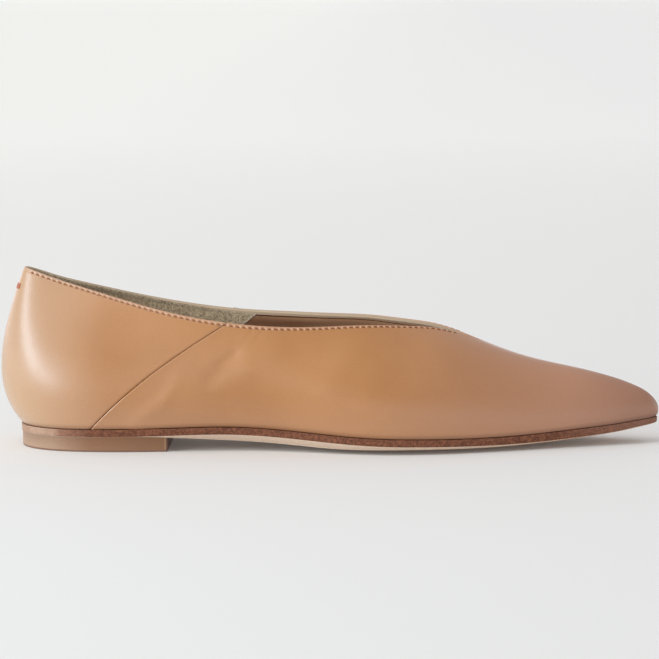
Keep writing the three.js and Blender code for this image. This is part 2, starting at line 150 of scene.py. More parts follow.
# Leather sheets and what is sewn into them
LEATHER = 0.5
ROLL_HEIGHT = 0.6
BAND_DEPTH = 1.2
THROAT_BAND_DEPTH = 3.0
BAND_DEEPENS = (140, 185)
THROAT_BLEND = 16
LINING_LEATHER = 0.4
STITCH_INSET = 1.35
STITCH_PITCH = 2.55
STITCH_LENGTH = 1.65
STITCH_RADIUS = 0.24
FIRST_STITCH = 7.5
FURROW_DEPTH = 0.14
FURROW_WIDTH = 0.35
PLAIN_RUN = 8
SEAM_FOOT_AT = 38.6
SEAM_RUN = 55.6
SEAM_BEND = 1.03
LINING_FOOT_AT = 57
LINING_TOP_AT = 105

# Soft folds of the vamp, from one place on the near side to another. x is the distance from the
# back, share the share of the height, and rise stands up from the leather where it isn't negative.
# A share of 1 counts as FOLD_TALL where a fold's width is measured.
FOLD_COLUMNS = ("x", "share", "end_x", "end_share", "width", "rise")
FOLDS = (
    (56.3, 0.04, 68.6, 0.28, 2.6, 0.32),
    (68.6, 0.28, 75, 0.5, 2.2, 0.18),
    (51.5, 0.09, 68.9, 0.44, 2.6, -0.2),
    (96.5, 0.74, 91, 0.64, 1.6, -0.34),
    (97.3, 0.74, 86.9, 0.48, 3.2, -0.36),
    (112.9, 0.8, 102.2, 0.6, 4.2, 0.26),
    (102.2, 0.6, 90, 0.38, 4, 0.22),
    (124, 0.72, 108, 0.45, 4.5, -0.14),
    (131.7, 0.7, 126.2, 0.46, 4.5, -0.16),
    (147.8, 0.68, 143.6, 0.42, 5, -0.14),
    (167.5, 0.72, 163.4, 0.5, 5, -0.1),
    (99.5, 0.93, 97, 0.84, 0.7, -0.12),
    (103.2, 0.94, 100, 0.82, 0.8, -0.14),
    (107.5, 0.94, 104.5, 0.85, 0.7, -0.1),
)
FOLD_TALL = 32.0
FAR_FOLDS = 0.5

# Rise of the vamp's edge at distances from the seam, and sinking of the quarters under it
VAMP_LIP = ((0, -0.7), (0.03, -0.35), (0.1, 0), (0.25, 0.17), (0.5, 0.23), (0.9, 0.2), (1.6, 0.09), (2.8, 0))
QUARTER_SINK = ((0, -0.5), (0.3, -0.3), (0.7, -0.1), (1.3, 0))

# Where the folds begin before the seam, and how far below the top edge the reliefs begin
SEAM_CLEAR = (1, 4)
FOLDS_BELOW = (0.6, 2.2)
SEAM_BELOW = (0.05, 0.7)

# How sharply the sides turn at the throat's section, at levels from the feather line to the top
THROAT_TURN = ((0, 0), (0.2, 0.037), (0.4, 0.1), (0.6, 0.135), (0.8, 0.114), (0.9, 0.08), (1, 0.03))

# How far below the top edge each lining ends, at distances from the back
SUEDE_GAP = ((45, 0.1), (75, 0.6), (104, 1.5))
FRONT_GAP = ((0, 0.75), (LENGTH, 0.75))


def table(columns, rows):
    """Rows of numbers as one array for each named column."""
    return {name: np.array([row[i] for row in rows], float) for i, name in enumerate(columns)}


FEATHER = table(FEATHER_COLUMNS, FEATHER_ROWS)
TOP = table(TOP_COLUMNS, TOP_ROWS)
FULLNESS = table(FULLNESS_COLUMNS, FULLNESS_ROWS)


class Spline:
    """Smooth curve through a value for each knot. A flat end has no slope."""

    def __init__(self, knots, values, flat_start=True, flat_end=True):
        self.knots = knots
        self.values = values
        self.gap = np.diff(knots)
        self.rate = np.diff(values) / self.gap
        count = len(knots)
        system = np.eye(count)
        right = np.zeros(count)
        for i in range(1, count - 1):
            before, after = self.gap[i - 1], self.gap[i]
            system[i, i - 1:i + 2] = before, 2 * (before + after), after
            right[i] = 6 * (self.rate[i] - self.rate[i - 1])
        if flat_start:
            system[0, :2] = 2 * self.gap[0], self.gap[0]
            right[0] = 6 * self.rate[0]
        if flat_end:
            system[-1, -2:] = self.gap[-1], 2 * self.gap[-1]
            right[-1] = -6 * self.rate[-1]
        self.bend = np.linalg.solve(system, right)

    def span(self, t):
        i = np.clip(np.searchsorted(self.knots, t) - 1, 0, len(self.knots) - 2)
        share = (self.knots[i + 1] - t) / self.gap[i]
        return i, share, 1 - share

    def at(self, t):
        i, a, b = self.span(t)
        curve = (a ** 3 - a) * self.bend[i] + (b ** 3 - b) * self.bend[i + 1]
        return a * self.values[i] + b * self.values[i + 1] + curve * self.gap[i] ** 2 / 6

    def slope(self, t):
        i, a, b = self.span(t)
        turn_rate = (3 * b * b - 1) * self.bend[i + 1] - (3 * a * a - 1) * self.bend[i]
        return self.rate[i] + turn_rate * self.gap[i] / 6


# Distance along the feather line, the mean of both sides, numbers the sections
foot_xs = FEATHER["at"] * LENGTH
foot_ys = {LATERAL: FEATHER["lateral"] * FEATHER["width"], MEDIAL: FEATHER["medial"] * FEATHER["width"]}
chords = sum(np.hypot(np.diff(foot_xs), np.diff(foot_ys[side])) for side in SIDES) / 2
knots = np.concatenate([[0], np.cumsum(chords)])
TIP = knots[-1]
THROAT = knots[THROAT_ROW]


def curve(values, flat_start=True, flat_end=True):
    return Spline(knots, values, flat_start, flat_end)


foot_x = curve(foot_xs)
foot_y = {side: curve(foot_ys[side], False, False) for side in SIDES}
sole_under = curve(FEATHER["lift"] * HEEL_HEIGHT + FEATHER["spring"] * TOE_SPRING)
sole_edge = curve(FEATHER["edge"] * SOLE_EDGE)
bevel = curve(FEATHER["bevel"] * BEVEL)
belly = curve(FEATHER["belly"] * SOLE_BELLY)
hollow = curve(FEATHER["hollow"] * BED_HOLLOW)
rows_before = np.arange(len(TOP_ROWS)) <= THROAT_ROW
past_throat = THROAT_AT + TOP["at"] * (LENGTH - THROAT_AT)
top_x = curve(np.where(rows_before, TOP["at"] * THROAT_AT, past_throat))
top_z = curve(TOP["high"] * TOP["height"], True, False)
top_middle = curve(TOP["middle"] * BALL_WIDTH)
top_dip = curve(TOP["dip"] * SIDE_DIP)
open_rows = TOP["open"][:THROAT_ROW + 1] * OPENING_WIDTH
opening = Spline(knots[:THROAT_ROW + 1], open_rows, False, False)
swell = {LATERAL: curve(FULLNESS["lateral_swell"]), MEDIAL: curve(FULLNESS["medial_swell"])}
climb = curve(FULLNESS["climb"])
stand = curve(FULLNESS["stand"], True, False)
drop = curve(FULLNESS["drop"])
turn = curve(FULLNESS["turn"])


def unit(vectors):
    length = np.linalg.norm(vectors, axis=-1, keepdims=True)
    return vectors / np.maximum(length, 1e-12)


def smooth(low, high, value):
    """0 below low, 1 above high and an even ease between them."""
    share = np.clip((value - low) / (high - low), 0, 1)
    return share * share * (3 - 2 * share)


def read(rows, place):
    """Value at a place, between rows of a place and its value."""
    return np.interp(place, *zip(*rows))


def outward(side, t):
    """Level direction square to the feather line, away from the shoe."""
    dx = foot_x.slope(t)
    dy = foot_y[side].slope(t)
    return unit(np.stack([-side * dy, side * dx, np.zeros_like(dx)], -1))


def feather_z(t):
    return sole_under.at(t) + sole_edge.at(t) + CLEARANCE


def foot_point(side, t):
    return np.stack([foot_x.at(t), foot_y[side].at(t), feather_z(t)], -1)


def top_point(side, t):
    before = t < THROAT
    half = np.where(before, opening.at(np.minimum(t, THROAT)), 0)
    dip = np.where(before, top_dip.at(t), 0)
    return np.stack([top_x.at(t), top_middle.at(t) + side * half, top_z.at(t) + side * dip], -1)


def skin(side, t, v):
    """Point on the outside of the upper: v runs from the feather line to the top edge."""
    t, v = np.broadcast_arrays(np.asarray(t, float), np.asarray(v, float))
    foot = foot_point(side, t)
    top = top_point(side, t)
    rise = top[..., 2] - foot[..., 2]
    out = outward(side, t)
    share = turn.at(t)[..., None]
    over = unit(np.array([0.0, side, 0.0]) * (1 - share) + out * share)
    low = foot + out * (swell[side].at(t) * rise)[..., None]
    low[..., 2] += climb.at(t) * rise
    high = top + over * (stand.at(t) * rise)[..., None]
    high[..., 2] -= drop.at(t) * rise
    v = v[..., None]
    u = 1 - v
    return u ** 3 * foot + 3 * u * u * v * low + 3 * u * v * v * high + v ** 3 * top


def skin_normal(side, t, v):
    """Direction out of the leather. In the middle, where both sides meet, it leans to neither."""
    t, v = np.broadcast_arrays(np.asarray(t, float), np.asarray(v, float))
    step = 0.001
    level = np.where(t >= TIP, np.minimum(v, 0.95), v)
    t0 = np.maximum(t - step * TIP, np.where(t < THROAT, 0, THROAT))
    t1 = np.minimum(t + step * TIP, np.where(t < THROAT, THROAT, TIP))
    along = skin(side, t1, level) - skin(side, t0, level)
    upward = skin(side, t, np.minimum(level + step, 1)) - skin(side, t, np.maximum(level - step, 0))
    normal = -side * np.cross(along, upward)
    shared = (t <= 0) | (t >= TIP) | ((v >= 1) & (t >= THROAT))
    normal[..., 1] = np.where(shared, 0, normal[..., 1])
    return unit(normal)


TOP_STEP = 0.001
THROAT_CLOSING = 5


def top_reach(side, t):
    """Millimetres from the feather line to the top edge, at the pace that the levels have beside it."""
    return np.linalg.norm(skin(side, t, 1.0) - skin(side, t, 1 - TOP_STEP), axis=-1) / TOP_STEP


def openness(t):
    """1 along the opening, easing to 0 just before the throat."""
    return smooth(0, THROAT_CLOSING, THROAT - t)


def place_where(reached, first, last):
    """Section at which a measure that grows from first to last turns true, for arrays."""
    low = np.array(first, float)
    high = np.array(last, float)
    for _ in range(40):
        middle = (low + high) / 2
        beyond = reached(middle)
        high = np.where(beyond, middle, high)
        low = np.where(beyond, low, middle)
    return low


class CrossLine:
    """A line that crosses one side of the upper, given by its distance from the back at a share
    of the height."""

    LEVELS = np.linspace(0, 1, 241)

    def __init__(self, side, x_at):
        def reached(t):
            point = skin(side, t, self.LEVELS)
            foot = feather_z(t)
            share = (point[:, 2] - foot) / (top_point(side, t)[:, 2] - foot)
            return point[:, 0] > x_at(np.clip(share, 0, 1))
        count = len(self.LEVELS)
        self.places = place_where(reached, np.zeros(count), np.full(count, TIP))
        self.points = skin(side, self.places, self.LEVELS)

    def at(self, v):
        return np.interp(v, self.LEVELS, self.places)


def seam_x(share):
    return SEAM_FOOT_AT + SEAM_RUN * share ** SEAM_BEND


def lining_x(share):
    return LINING_FOOT_AT + (LINING_TOP_AT - LINING_FOOT_AT) * share


SEAM = {side: CrossLine(side, seam_x) for side in SIDES}
LINING_CUT = {side: CrossLine(side, lining_x) for side in SIDES}

# Length along the topline from the centre of the back
RUN_PLACES = np.linspace(0, THROAT, 1201)


def run_along(side):
    points = top_point(side, RUN_PLACES)
    return np.concatenate([[0], np.cumsum(np.linalg.norm(np.diff(points, axis=0), axis=1))])


RUN = {side: run_along(side) for side in SIDES}
STITCH_COUNT = int((RUN[LATERAL][-1] - FIRST_STITCH - PLAIN_RUN) / STITCH_PITCH)
LAST_STITCH = FIRST_STITCH + (STITCH_COUNT - 1) * STITCH_PITCH


LINE_CHUNK = 4000


def distance_to(points, line):
    """Distance of each point from a fine line of points, and the number of the nearest one."""
    flat = points.reshape(-1, 3)
    shape = points.shape[:-1]
    gaps, nearest = [], []
    for part in np.array_split(flat, len(flat) // LINE_CHUNK + 1):
        square = ((part[:, None] - line[None]) ** 2).sum(-1)
        nearest.append(square.argmin(1))
        gaps.append(np.sqrt(square.min(1)))
    return np.concatenate(gaps).reshape(shape), np.concatenate(nearest).reshape(shape)


def measured_origin():
    """The solids are centred on their box, so its middle is the functions' own middle."""
    low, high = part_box("upper")
    places = np.linspace(0, TIP, 400)
    levels = np.linspace(0, 1, 60)
    t, v = np.meshgrid(places, levels)
    points = np.concatenate([skin(side, t, v).reshape(-1, 3) for side in SIDES])
    own = (points.min(0) + points.max(0)) / 2
    there = np.array((low + high) / 2) / MM
    return there[0] - own[0], there[1] - own[1]


shift_x, shift_y = measured_origin()
ORIGIN = np.array([shift_x, shift_y, 0.0])


# Meshes

WELDED_PER_MM = 2000


def link_object(name, data):
    made = bpy.data.objects.new(name, data)
    bpy.context.scene.collection.objects.link(made)
    return made


class Builder:
    """Collects grids of points, welds what coincides and writes one mesh."""

    def __init__(self):
        self.points, self.data, self.faces, self.paints = [], [], [], []
        self.count = 0

    def grid(self, points, flip=False, paint=0, **data):
        """points are rows by columns. paint is a material's number, or one for each face."""
        rows, columns = points.shape[:2]
        index = self.count + np.arange(rows * columns).reshape(rows, columns)
        self.count += rows * columns
        self.points.append(points.reshape(-1, 3))
        shape = (rows, columns)
        self.data.append({name: np.broadcast_to(value, shape).reshape(-1) for name, value in data.items()})
        a, b, c, d = index[:-1, :-1], index[:-1, 1:], index[1:, 1:], index[1:, :-1]
        order = (a, d, c, b) if flip else (a, b, c, d)
        self.faces.append(np.stack(order, -1).reshape(-1, 4))
        self.paints.append(np.broadcast_to(paint, (rows - 1, columns - 1)).reshape(-1))

    def weld(self):
        points = np.concatenate(self.points)
        names = self.data[0].keys()
        data = {name: np.concatenate([part[name] for part in self.data]) for name in names}
        keys = np.round(points * WELDED_PER_MM).astype(np.int64)
        _, first, inverse = np.unique(keys, axis=0, return_index=True, return_inverse=True)
        self.merged = points[first]
        self.values = {name: value[first] for name, value in data.items()}
        quads = inverse.reshape(-1)[np.concatenate(self.faces)]
        paints = np.concatenate(self.paints)
        self.rings = []
        self.kept = []
        for quad, paint in zip(quads.tolist(), paints.tolist()):
            ring = [corner for i, corner in enumerate(quad) if corner != quad[i - 1]]
            if len(set(ring)) == len(ring) and len(ring) > 2:
                self.rings.append(ring)
                self.kept.append(paint)

    def normals(self):
        """Normals of the welded points, weighted by the faces' areas."""
        quads = np.array([ring + ring[-1:] * (4 - len(ring)) for ring in self.rings])
        corners = self.merged[quads]
        area = np.cross(corners[:, 2] - corners[:, 0], corners[:, 3] - corners[:, 1])
        result = np.zeros_like(self.merged)
        for corner in range(4):
            own = (corner < 3) | (quads[:, 3] != quads[:, 2])
            np.add.at(result, quads[own, corner], area[own])
        return unit(result)

    def lift(self, offset):
        self.merged = self.merged + self.normals() * offset[:, None]

    def write(self, name, materials, uv=None, thickness=0, kept=()):
        """uv names the two values, in millimetres, that become the UV map. Those in kept stay with
        the points."""
        mesh = bpy.data.meshes.new(name)
        mesh.from_pydata(((self.merged + ORIGIN) * MM).tolist(), [], self.rings)
        mesh.polygons.foreach_set("material_index", self.kept)
        if uv:
            layer = mesh.uv_layers.new(name="millimetres")
            corners = np.empty(len(mesh.loops), int)
            mesh.loops.foreach_get("vertex_index", corners)
            pair = np.stack([self.values[uv[0]][corners], self.values[uv[1]][corners]], -1)
            layer.data.foreach_set("uv", pair.reshape(-1))
        for value in kept:
            layer = mesh.attributes.new(value, "FLOAT", "POINT")
            layer.data.foreach_set("value", self.values[value])
        mesh.validate()
        mesh.shade_smooth()
        piece = link_object(name, mesh)
        for material in materials:
            mesh.materials.append(material)
        if thickness:
            solid = piece.modifiers.new("thickness", "SOLIDIFY")
            solid.thickness = thickness * MM
            solid.offset = -1
        return piece


def place(piece, slot, *nodes):
    """Rides on the shoe's one body, and stands for the solids named."""
    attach(piece, "root")
    if nodes:
        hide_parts(*nodes)


# Materials

def hexed(red, green, blue):
    """Linear colour from the 0 to 255 values seen on a screen."""
    def linear(value):
        share = value / 255
        return share / 12.92 if share <= 0.04045 else ((share + 0.055) / 1.055) ** 2.4
    return (linear(red), linear(green), linear(blue), 1)


class Nodes:
    """Short calls that make and link the nodes of a material or of the world."""

    def __init__(self, tree):
        self.tree = tree
        self.coordinates = tree.nodes.new("ShaderNodeTexCoord")

    def feed(self, socket, value):
        """Links another node's socket, or sets a plain value."""
        if isinstance(value, bpy.types.NodeSocket):
            self.tree.links.new(value, socket)
        else:
            socket.default_value = value

    def node(self, kind, inputs=None, **settings):
        made = self.tree.nodes.new(kind)
        for name, value in settings.items():
            setattr(made, name, value)
        for name, value in (inputs or {}).items():
            self.feed(made.inputs[name], value)
        return made

    def split(self, source):
        """The three parts of one kind of coordinates."""
        parts = self.node("ShaderNodeSeparateXYZ", {"Vector": self.coordinates.outputs[source]}).outputs
        return parts["X"], parts["Y"], parts["Z"]

    def noise(self, size, detail=3, roughness=0.55):
        """Even noise whose blotches are about size millimetres across."""
        inputs = {"Vector": self.coordinates.outputs["Object"], "Scale": 1 / (size * MM)}
        inputs.update({"Detail": detail, "Roughness": roughness})
        return self.node("ShaderNodeTexNoise", inputs).outputs["Fac"]

    def remap(self, value, low, high, start=0, end=1, ease="LINEAR"):
        inputs = {"Value": value, "From Min": low, "From Max": high, "To Min": start, "To Max": end}
        return self.node("ShaderNodeMapRange", inputs, interpolation_type=ease).outputs["Result"]

    def mix(self, share, first, second, blend="MIX"):
        inputs = {0: share, 6: first, 7: second}
        return self.node("ShaderNodeMix", inputs, data_type="RGBA", blend_type=blend).outputs[2]

    def math(self, operation, *values):
        return self.node("ShaderNodeMath", dict(enumerate(values)), operation=operation).outputs[0]

    def bell(self, value, middle, width, peak=1):
        """The peak where the value is at the middle, falling to 0 on both sides."""
        away = self.math("ABSOLUTE", self.math("SUBTRACT", value, middle))
        return self.remap(away, width, 0, 0, peak, "SMOOTHSTEP")


class Paint(Nodes):
    """A material, and calls that lay colours over each other by where they are on the shoe."""

    def __init__(self, name, colour, roughness):
        self.material = bpy.data.materials.new(name)
        self.material.use_nodes = True
        super().__init__(self.material.node_tree)
        self.shader = next(node for node in self.tree.nodes if node.type == "BSDF_PRINCIPLED")
        self.now = hexed(*colour)
        self.set("Base Color", self.now)
        self.set("Roughness", roughness)

    def set(self, name, value):
        self.feed(self.shader.inputs[name], value)

    def cover(self, share, colour, blend="MIX"):
        """Lays a linear colour over what is there."""
        self.now = self.mix(share, self.now, colour, blend)
        self.set("Base Color", self.now)

    def lay(self, share, red, green, blue):
        self.cover(share, hexed(red, green, blue))

    def tint(self, share, red, green, blue):
        self.cover(share, (red, green, blue, 1), "MULTIPLY")

    def from_back(self, first, last, start=0, end=1):
        """Goes from start to end between two distances from the back of the shoe."""
        x, _, _ = self.split("Object")
        return self.remap(x, (first + shift_x) * MM, (last + shift_x) * MM, start, end)

    def above_floor(self, first, last, start=0, end=1):
        """Goes from start to end between two heights."""
        _, _, height = self.split("Object")
        return self.remap(height, first * MM, last * MM, start, end)

    def kept(self, name):
        """A value kept with the points of the mesh."""
        return self.node("ShaderNodeAttribute", attribute_name=name).outputs["Fac"]

    def bump(self, height, depth, strength=1):
        """depth in millimetres for a height from 0 to 1."""
        inputs = {"Height": height, "Distance": depth * MM, "Strength": strength}
        normal = self.node("ShaderNodeBump", inputs).outputs["Normal"]
        self.set("Normal", normal)
        self.set("Coat Normal", normal)


def tan_leather():
    """Tan calf, with painted light paler round the back and low along the feather line, a painted sheen
    pinker towards the toe, and painted shade at the tip, above the feather line and in the stitch holes.
    """
    paint = Paint("tan_leather", (182, 123, 66), 0.5)
    paint.set("Specular IOR Level", 0.5)
    paint.set("Coat Roughness", 0.27)
    paint.set("Coat IOR", 1.6)
    paint.set("Coat Weight", paint.from_back(60, 130, 0.9, 0.45))
    paint.lay(paint.remap(paint.noise(30, 2), 0.35, 0.65), 176, 117, 61)
    # Painted light from the floor: paler low on the sides.
    paint.lay(paint.above_floor(24, 12, 0, 0.6), 192, 140, 101)
    # Painted light: paler round the back of the heel, where the lights on the left fall, and palest low down.
    pale = paint.mix(paint.above_floor(42, 14), hexed(180, 137, 96), hexed(198, 160, 124))
    paint.cover(paint.from_back(45, 5), pale)
    # Painted sheen: pinker and greyer towards the toe, where the leather reflects the pale room.
    paint.lay(paint.from_back(150, 235), 178, 127, 96)
    # Painted shade: darker at the tip of the toe.
    paint.lay(paint.from_back(230, 260, 0, 0.8), 155, 109, 84)
    paint.tint(paint.remap(paint.noise(0.55, 2), 0.42, 0.68, 0, 0.5), 1.12, 1.12, 1.14)
    # Painted shade: darker just above the feather line, where the leather turns under the sole.
    paint.tint(paint.remap(paint.kept("foot"), 1.9, 0.3), 0.7, 0.64, 0.6)
    paint.set("Roughness", paint.remap(paint.noise(1.2, 4), 0.3, 0.7, 0.46, 0.54))

    run, edge, _ = paint.split("UV")
    pace = 2 * math.pi / STITCH_PITCH
    wave = paint.math("COSINE", paint.math("MULTIPLY_ADD", run, pace, -pace * FIRST_STITCH))
    wave = paint.remap(wave, -1, 1)
    started = paint.remap(run, FIRST_STITCH - 1.4, FIRST_STITCH - 1.2)
    stitched = paint.math("MULTIPLY", started, paint.remap(run, LAST_STITCH + 1.3, LAST_STITCH + 0.8))
    row = paint.math("MULTIPLY", paint.bell(edge, STITCH_INSET, 0.7), stitched)
    pulled_and_shaded = paint.math("MULTIPLY", paint.math("POWER", wave, 0.7), row)
    puffed = paint.math("MULTIPLY", paint.bell(edge, STITCH_INSET - 0.15, 0.75), stitched)
    proud_and_lit = paint.math("MULTIPLY", paint.math("SUBTRACT", 1.0, wave), puffed)
    # Painted highlight: a pale line along the rolled top edge.
    paint.lay(paint.bell(edge, 0.5, 0.6, 0.4), 200, 156, 130)
    # Painted shade in the stitch holes and painted highlight on the leather puffed between them; both also
    # shape the bump.
    paint.lay(paint.math("MULTIPLY", pulled_and_shaded, 0.5), 150, 98, 64)
    paint.lay(paint.math("MULTIPLY", proud_and_lit, 0.75), 232, 192, 158)
    grain = paint.math("MULTIPLY", paint.noise(0.45, 3, 0.6), 0.05)
    puffs = paint.math("MULTIPLY", paint.math("SUBTRACT", proud_and_lit, pulled_and_shaded), 0.16)
    paint.bump(paint.math("ADD", grain, puffs), 1)
    return paint.material


def plain_paint(name, colour, roughness):
    """One colour with a fine darker grain."""
    paint = Paint(name, colour, roughness)
    grain = paint.noise(0.5, 4, 0.6)
    paint.lay(paint.remap(grain, 0.35, 0.65), *[value * 0.9 for value in colour])
    paint.bump(grain, 0.05, 0.6)
    return paint.material


def edge_band():
    """Folded edge inside the opening, painted pale grey-beige as the sheen on the folded tan leather, lighter
    away from the fold.
    """
    # Painted sheen: the folded tan leather is painted pale grey-beige, paler still away from the fold.
    paint = Paint("edge_band", (180, 157, 130), 0.8)
    _, edge, _ = paint.split("UV")
    grain = paint.noise(0.9, 4, 0.6)
    paint.lay(paint.remap(edge, 1.0, 2.6), 252, 222, 188)
    paint.lay(paint.remap(grain, 0.35, 0.65, 0, 0.3), 204, 176, 146)
    paint.bump(grain, 0.05)
    return paint.material


def grey_suede():
    """Mottled nap with a pale cut edge, and painted shade where it goes under the band."""
    paint = Paint("grey_suede", (180, 152, 116), 1.0)
    paint.set("Sheen Weight", 0.3)
    below, cut, _ = paint.split("UV")
    nap = paint.remap(paint.noise(0.9, 3, 0.75), 0.36, 0.64)
    paint.lay(nap, 255, 238, 200)
    paint.lay(paint.remap(cut, -1.0, -0.85), 255, 240, 212)
    # Painted shade under the band.
    paint.lay(paint.remap(below, 1.3, 0.8, 0, 0.35), 120, 104, 86)
    paint.bump(nap, 0.25)
    return paint.material


def brown_lining():
    """Smooth lining leather, with painted light that grows towards the throat and near the band, and a
    painted shade line where it goes under the band.
    """
    paint = Paint("brown_lining", (138, 97, 68), 0.55)
    below, _, _ = paint.split("UV")
    grain = paint.noise(0.6, 3)
    # Painted light: lighter near the band, and more so towards the throat.
    lit = paint.math("MULTIPLY", paint.remap(below, 3.8, 1.0), paint.from_back(98, 125, 0.25, 1))
    paint.lay(lit, 232, 180, 138)
    paint.lay(paint.remap(grain, 0.35, 0.65, 0, 0.25), 168, 120, 86)
    # Painted light: lighter still towards the throat, where the opening lets light in.
    paint.lay(paint.from_back(120, 165, 0, 0.75), 250, 206, 166)
    # Painted shade: a dark line where the lining goes under the band.
    paint.lay(paint.remap(below, 1.45, 1.0), 84, 50, 32)
    paint.bump(grain, 0.05)
    return paint.material


def sole_edge_paint():
    """Painted edge, rough and mottled, paler round the back of the heel, with worn patches at its very back.
    """
    paint = Paint("edge_paint", (146, 91, 62), 0.85)
    mottle = paint.remap(paint.noise(1.1, 4, 0.7), 0.38, 0.62)
    paint.lay(mottle, 99, 55, 35)
    paint.lay(paint.from_back(38, 27, 0, 0.4), 190, 144, 118)
    patch = paint.remap(paint.noise(7, 2), 0.4, 0.55, 0.65, 0.9)
    paint.lay(paint.math("MULTIPLY", paint.from_back(26, 23), patch), 196, 160, 134)
    paint.lay(paint.from_back(225, 255, 0, 0.45), 160, 118, 98)
    paint.bump(mottle, 0.22)
    return paint.material


def heel_cover():
    """Covered block: a pale line where the cover is folded round the breast, and painted shade that darkens
    the block towards the breast and most on the breast face.
    """
    paint = Paint("heel_cover", (190, 156, 130), 0.5)
    grain = paint.noise(0.5, 3)
    paint.lay(paint.remap(grain, 0.35, 0.65), 181, 147, 121)
    # Painted shade: darker towards the breast, under the arch.
    paint.lay(paint.from_back(22, 38), 160, 117, 87)
    paint.lay(paint.from_back(40, 65), 151, 110, 79)
    x, _, _ = paint.split("Object")
    paint.lay(paint.bell(x, (HEEL_BREAST_AT - 0.9 + shift_x) * MM, 0.35 * MM, 0.7), 206, 170, 142)
    # Painted shade on the breast face.
    paint.lay(paint.from_back(HEEL_BREAST_AT - 0.35, HEEL_BREAST_AT - 0.2), 112, 86, 76)
    paint.bump(grain, 0.05)
    return paint.material


LEATHER_PAINT = tan_leather()
SEAM_PAINT = plain_paint("seam_shade", (112, 66, 42), 0.8)
BAND_PAINT = edge_band()
SUEDE_PAINT = grey_suede()
LINING_PAINT = brown_lining()
EDGE_PAINT = sole_edge_paint()
BEVEL_PAINT = plain_paint("beige_bevel", (226, 200, 176), 0.7)
BOTTOM_PAINT = plain_paint("sole_leather", (196, 160, 128), 0.55)
HEEL_PAINT = heel_cover()
# A darker band round the foot of the heel block.
HEEL_FOOT_PAINT = plain_paint("heel_foot_band", (146, 112, 92), 0.8)
SOCK_PAINT = plain_paint("sock_leather", (165, 138, 107), 0.6)
THREAD_PAINT = plain_paint("thread", (160, 102, 66), 0.7)
TACK_PAINT = plain_paint("tack_thread", (186, 110, 84), 0.7)

# Upper leather: quarters behind the seam, vamp before it

# Distances of the rows below the top edge, shares of the height of the lowest rows, and the count
# of rows between them. Over the edge come the roll, the band and its end, turned into the wall.
TOP_STEPS = np.array([4.0, 3.3, 2.8, 2.4, 2.1, 1.9, 1.7, 1.5, 1.3, 1.1, 0.95, 0.8, ROLL_HEIGHT])
FOOT_SHARES = np.array([0, 0.004, 0.012, 0.025, 0.04])
MIDDLE_ROWS = 46
ROLL_TURNS = np.radians([22, 45, 67, 90, 113, 135, 158, 180])
LEATHER_OVER_ROLL = 3
BAND_STEPS = (0.25, 0.5, 0.75, 1.0)
BAND_TURN_IN = 0.35
BAND_TURN_DOWN = 0.1

# Inset and height, from the feather line, of the rows tucked under it
TUCKS = ((1.7, -0.24), (0.4, -0.22), (0.1, -0.14))


def band_depth(x):
    """The band inside the edge grows deeper towards the throat."""
    return BAND_DEPTH + (THROAT_BAND_DEPTH - BAND_DEPTH) * smooth(*BAND_DEEPENS, x)


def levels_at(side, t_top):
    """Levels of the rows over each column whose top is at t_top, and how far its edge is rolled."""
    roll = openness(t_top)
    low, high = TOP_STEPS[-1], TOP_STEPS[0]
    last = ROLL_HEIGHT * roll
    steps = last + (TOP_STEPS[:, None] - low) * (high - last) / (high - low)
    near_top = 1 - steps / top_reach(side, t_top)
    even = np.linspace(FOOT_SHARES[-1], 1, MIDDLE_ROWS + 2)[1:-1]
    shares = np.concatenate([FOOT_SHARES, even])
    return np.concatenate([shares[:, None] * near_top[0], near_top]), roll


def leather_points(side, shares, seam_first):
    """Rows by columns of points from the tucked lower edge over the rolled top edge to the band
    inside. shares run from the seam to the tip, or from the back to the seam."""
    def section(v):
        start = SEAM[side].at(v)
        return start + (TIP - start) * shares if seam_first else start * shares

    v, roll = levels_at(side, section(np.ones_like(shares)))
    t = section(v)
    body = skin(side, t, v)
    foot, base = body[0], body[-1]
    normal = skin_normal(side, t[-1], v[-1])
    up = unit(base - skin(side, t[-1], v[-1] - 0.002))
    roll = roll[:, None]
    thick = WALL / 2 * roll
    high = ROLL_HEIGHT * roll
    centre = base - normal * thick
    rim = [centre + normal * thick * math.cos(a) + up * high * math.sin(a) for a in ROLL_TURNS]
    inner = centre - normal * thick
    deep = band_depth(base[:, :1]) * roll
    rim += [inner - up * deep * step for step in BAND_STEPS]
    rim.append(inner + normal * roll * BAND_TURN_IN - up * (deep + BAND_TURN_DOWN * roll))
    rim = np.stack(rim)
    middle = top_middle.at(t[-1])
    rim[..., 1] = middle + side * np.maximum(side * (rim[..., 1] - middle), 0)
    closed = roll[:, 0] <= 0
    rim[:, closed] = base[closed]
    out = outward(side, t[0])
    tucks = np.stack([foot - out * inset + np.array([0, 0, z]) for inset, z in TUCKS])
    points = np.concatenate([tucks, body, rim])

    above = points[..., 2] - foot[:, 2]
    whole = top_point(side, t[-1])[:, 2] - foot[:, 2]
    edge, nearest = distance_to(points, top_point(side, RUN_PLACES))
    seam, _ = distance_to(points, SEAM[side].points)
    below, over = np.zeros((len(tucks), len(shares))), np.ones((len(rim), len(shares)))
    body_rows = np.clip(np.arange(len(points)) - len(tucks), 0, len(t) - 1)
    data = {"edge": edge, "run": RUN[side][nearest], "seam": seam, "side": side, "section": t[body_rows]}
    data["level"] = np.concatenate([below, v, over])
    data["x"] = points[..., 0]
    data["foot"] = above
    data["share"] = np.clip(above / whole, 0, 1)
    return points, data, len(rim)


